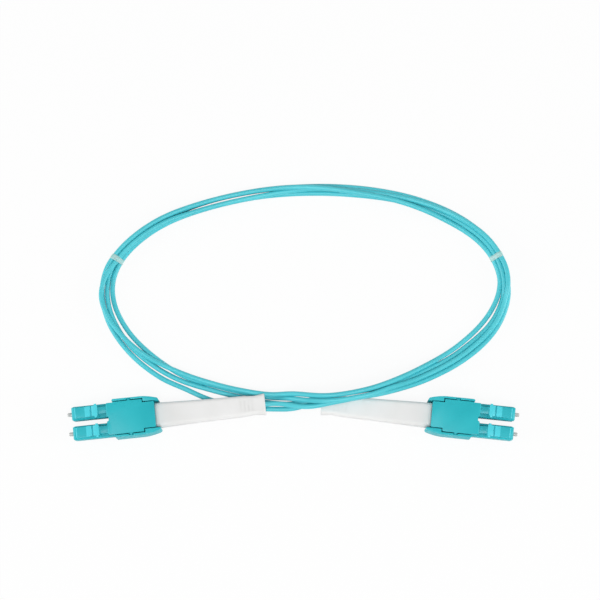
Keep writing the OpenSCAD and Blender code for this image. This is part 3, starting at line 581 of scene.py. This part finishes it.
def rounded_rings(sections):
    """A rounded rectangle in (y, z) at each station: four quarter circles, and at the middle of
    the top and of the bottom two pairs of points. Inside a slot the inner two lie at slot_floor."""
    quarters = [np.linspace(90 * q, 90 * q + 90, corner_steps) for q in range(4)]
    a = np.radians(np.concatenate(quarters))
    sy = np.repeat([1, -1, -1, 1], corner_steps)
    sz = np.repeat([1, 1, -1, -1], corner_steps)
    x, w, h, r = [sections[:, k : k + 1] for k in range(4)]
    y = sy * (w / 2 - r) + r * np.cos(a)
    z = sz * (h / 2 - r) + r * np.sin(a)
    edge = np.minimum(slot_w / 2, w / 2 - r)
    pair = edge * np.array([1, 1, -1, -1])
    rows = np.arange(len(x))
    in_slot = np.zeros(len(x), bool)
    for start in slot_starts:
        here = rows[np.abs(x[:, 0] - (start + slot_length / 2)) < slot_length / 2 + 0.001]
        in_slot[here[1:-1]] = True
    top = np.where(in_slot[:, None] & np.array([[False, True, True, False]]), slot_floor, h / 2)
    first, last = corner_steps, 3 * corner_steps
    y = np.concatenate([y[:, :first], pair, y[:, first:last], -pair, y[:, last:]], 1)
    z = np.concatenate([z[:, :first], top, z[:, first:last], -top, z[:, last:]], 1)
    return np.stack([x + 0 * y, y, axis_h + z], -1)


def boot(end):
    """The outer rings from front to rim, then circles down the bore to the front, with points at
    the angles of the rim's, and the first ring again: one closed skin with a hole through it."""
    outer = rounded_rings(boot_sections())
    a = np.arctan2(outer[-1, :, 2] - axis_h, outer[-1, :, 1])
    circle = np.stack([0 * a, np.cos(a), np.sin(a)], -1)
    bore = np.array([[x, 0, axis_h] + r * circle for x, r in boot_bore])
    rings = np.concatenate([outer, bore, outer[:1]])
    piece = skin("boot_skin_" + end, in_connector(end, rings) * MM)
    work = bmesh.new()
    work.from_mesh(piece.data)
    caps = [f for f in work.faces if len(f.verts) > 4]
    bmesh.ops.delete(work, geom=caps, context="FACES_ONLY")
    bmesh.ops.remove_doubles(work, verts=work.verts, dist=1e-7)
    bmesh.ops.recalc_face_normals(work, faces=work.faces)
    work.to_mesh(piece.data)
    work.free()
    piece.data.set_sharp_from_angle(angle=math.radians(40))
    return piece


rubber, rubber_shader = new_material("boot_rubber", (0.83, 0.83, 0.82), 0.55)
mottle(rubber, rubber_shader, [(0.815, 0.815, 0.805), (0.845, 0.845, 0.84)], 0.008)
grain(rubber, rubber_shader, 0.0002, 0.000015, 0.4)
for end in plugs_of:
    piece = boot(end)
    piece.data.materials.append(rubber)
    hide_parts("boot_" + end)
    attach(piece, MAIN)

# ---- Ferrules ----
# Ground white zirconia rods, 1.25 mm thick, each pressed into the metal holder in its plug.
# The tip is bevelled and polished to a very slight dome.
ferrule_r = 0.625
ferrule_sides = 36
plug_y = 3.125
ferrule_profile = np.array([
    # x, radius
    [-1.5, 0.12], [-1.49, 0.3], [-1.46, 0.43], [-1.4, 0.5], [-1.2, 0.6], [-1.12, ferrule_r],
    [-0.6, ferrule_r], [0.4, ferrule_r], [5.4, ferrule_r], [5.5, 0.53],
])


def ferrule(plug):
    """A rod turned about the fibre axis: at each x of the profile, a circle of its radius."""
    a = 2 * np.pi * np.arange(ferrule_sides) / ferrule_sides
    x, r = ferrule_profile[:, :1], ferrule_profile[:, 1:]
    y = plug_y if plug.endswith("1") else -plug_y
    rings = np.stack([x + 0 * a, y + r * np.cos(a), axis_h + r * np.sin(a)], -1)
    piece = skin("ferrule_skin_" + plug, in_connector(plug[0], rings) * MM)
    outward_faces(piece)
    piece.data.set_sharp_from_angle(angle=math.radians(35))
    return piece


ceramic, ceramic_shader = new_material("ferrule_ceramic", (0.55, 0.55, 0.54), 0.22)
mottle(ceramic, ceramic_shader, [(0.53, 0.53, 0.52), (0.57, 0.57, 0.56)], 0.001)
grain(ceramic, ceramic_shader, 0.00006, 0.000002, 0.3)
for end, plugs in plugs_of.items():
    for plug in plugs:
        piece = ferrule(plug)
        piece.data.materials.append(ceramic)
        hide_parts("ferrule_" + plug)
        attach(piece, MAIN)

# ---- Holders, springs, crimp sleeves and fibres ----
# Turned nickel-silver holders, bright wound springs and a rolled crimp sleeve, all inside the
# plugs and the boot, and the two coated fibres that run from the holders into the cable.
holder, holder_shader = new_material("holder_metal", (0.50, 0.49, 0.46), 0.3, Metallic=1.0)
mottle(holder, holder_shader, [(0.47, 0.46, 0.43), (0.53, 0.52, 0.49)], 0.0008)
grain(holder, holder_shader, 0.00008, 0.000004, 0.4, stretch=(6, 1, 1))
wire, wire_shader = new_material("spring_steel", (0.43, 0.44, 0.46), 0.22, Metallic=1.0)
mottle(wire, wire_shader, [(0.40, 0.41, 0.43), (0.46, 0.47, 0.49)], 0.0006)
grain(wire, wire_shader, 0.00005, 0.000002, 0.3)
crimp, crimp_shader = new_material("crimp_metal", (0.55, 0.54, 0.52), 0.34, Metallic=1.0)
mottle(crimp, crimp_shader, [(0.50, 0.49, 0.47), (0.58, 0.57, 0.55)], 0.001)
grain(crimp, crimp_shader, 0.0005, 0.00003, 0.5)
coating, coating_shader = new_material("fibre_coating", (0.70, 0.58, 0.28), 0.4)
mottle(coating, coating_shader, [(0.66, 0.54, 0.25), (0.74, 0.62, 0.31)], 0.001)
grain(coating, coating_shader, 0.0001, 0.000003, 0.3)
for end, plugs in plugs_of.items():
    for plug in plugs:
        dress("ferrule_holder_" + plug, holder)
        dress("spring_" + plug, wire)
        dress("fibre_" + plug, coating)
    dress("crimp_sleeve_" + end, crimp)

# ---- Floor and light ----
# A plain white table that keeps the object's soft shadow, three metres each way, under a pale
# even sky, with soft panels high at the front and low at both sides.
reach = 3
corners = [(-reach, -reach, 0), (reach, -reach, 0), (reach, reach, 0), (-reach, reach, 0)]
floor_mesh = bpy.data.meshes.new("floor")
floor_mesh.from_pydata(corners, [], [(0, 1, 2, 3)])
floor = bpy.data.objects.new("floor", floor_mesh)
bpy.context.scene.collection.objects.link(floor)
table, table_shader = new_material("table_white", (0.92, 0.92, 0.92), 0.8)
nodes, links = table.node_tree.nodes, table.node_tree.links
glow = nodes.new("ShaderNodeEmission")
glow.inputs["Color"].default_value = (1, 1, 1, 1)
blend = nodes.new("ShaderNodeMixShader")
path = nodes.new("ShaderNodeLightPath")
seen = nodes.new("ShaderNodeMath")
seen.operation = "MAXIMUM"
share = nodes.new("ShaderNodeMath")
share.operation = "MULTIPLY"
share.inputs[1].default_value = 0.9
links.new(path.outputs["Is Camera Ray"], seen.inputs[0])
links.new(path.outputs["Is Transmission Ray"], seen.inputs[1])
links.new(seen.outputs[0], share.inputs[0])
links.new(share.outputs[0], blend.inputs["Fac"])
links.new(table_shader.outputs["BSDF"], blend.inputs[1])
links.new(glow.outputs["Emission"], blend.inputs[2])
links.new(blend.outputs["Shader"], nodes["Material Output"].inputs["Surface"])
floor_mesh.materials.append(table)

world = bpy.data.worlds.new("studio")
bpy.context.scene.world = world
world.use_nodes = True
sky = world.node_tree.nodes["Background"]
sky.inputs["Color"].default_value = (1, 1, 1, 1)
sky.inputs["Strength"].default_value = 0.46
lit_point = Vector((0, 0.03, 0))


def panel(name, place, size, power):
    """A square soft light at place, facing lit_point in the middle of the object."""
    light = bpy.data.lights.new(name, "AREA")
    light.shape = "SQUARE"
    light.size = size
    light.energy = power
    lamp = bpy.data.objects.new(name, light)
    lamp.location = place
    lamp.rotation_mode = "QUATERNION"
    lamp.rotation_quaternion = (lit_point - lamp.location).to_track_quat("-Z", "Y")
    bpy.context.scene.collection.objects.link(lamp)


panel("panel_top", (0, -0.4, 1.15), 0.5, 6)
panel("panel_left", (-1.0, -0.1, 0.3), 0.4, 3.5)
panel("panel_right", (1.0, -0.1, 0.3), 0.4, 3.5)
bpy.context.scene.view_settings.view_transform = "Standard"
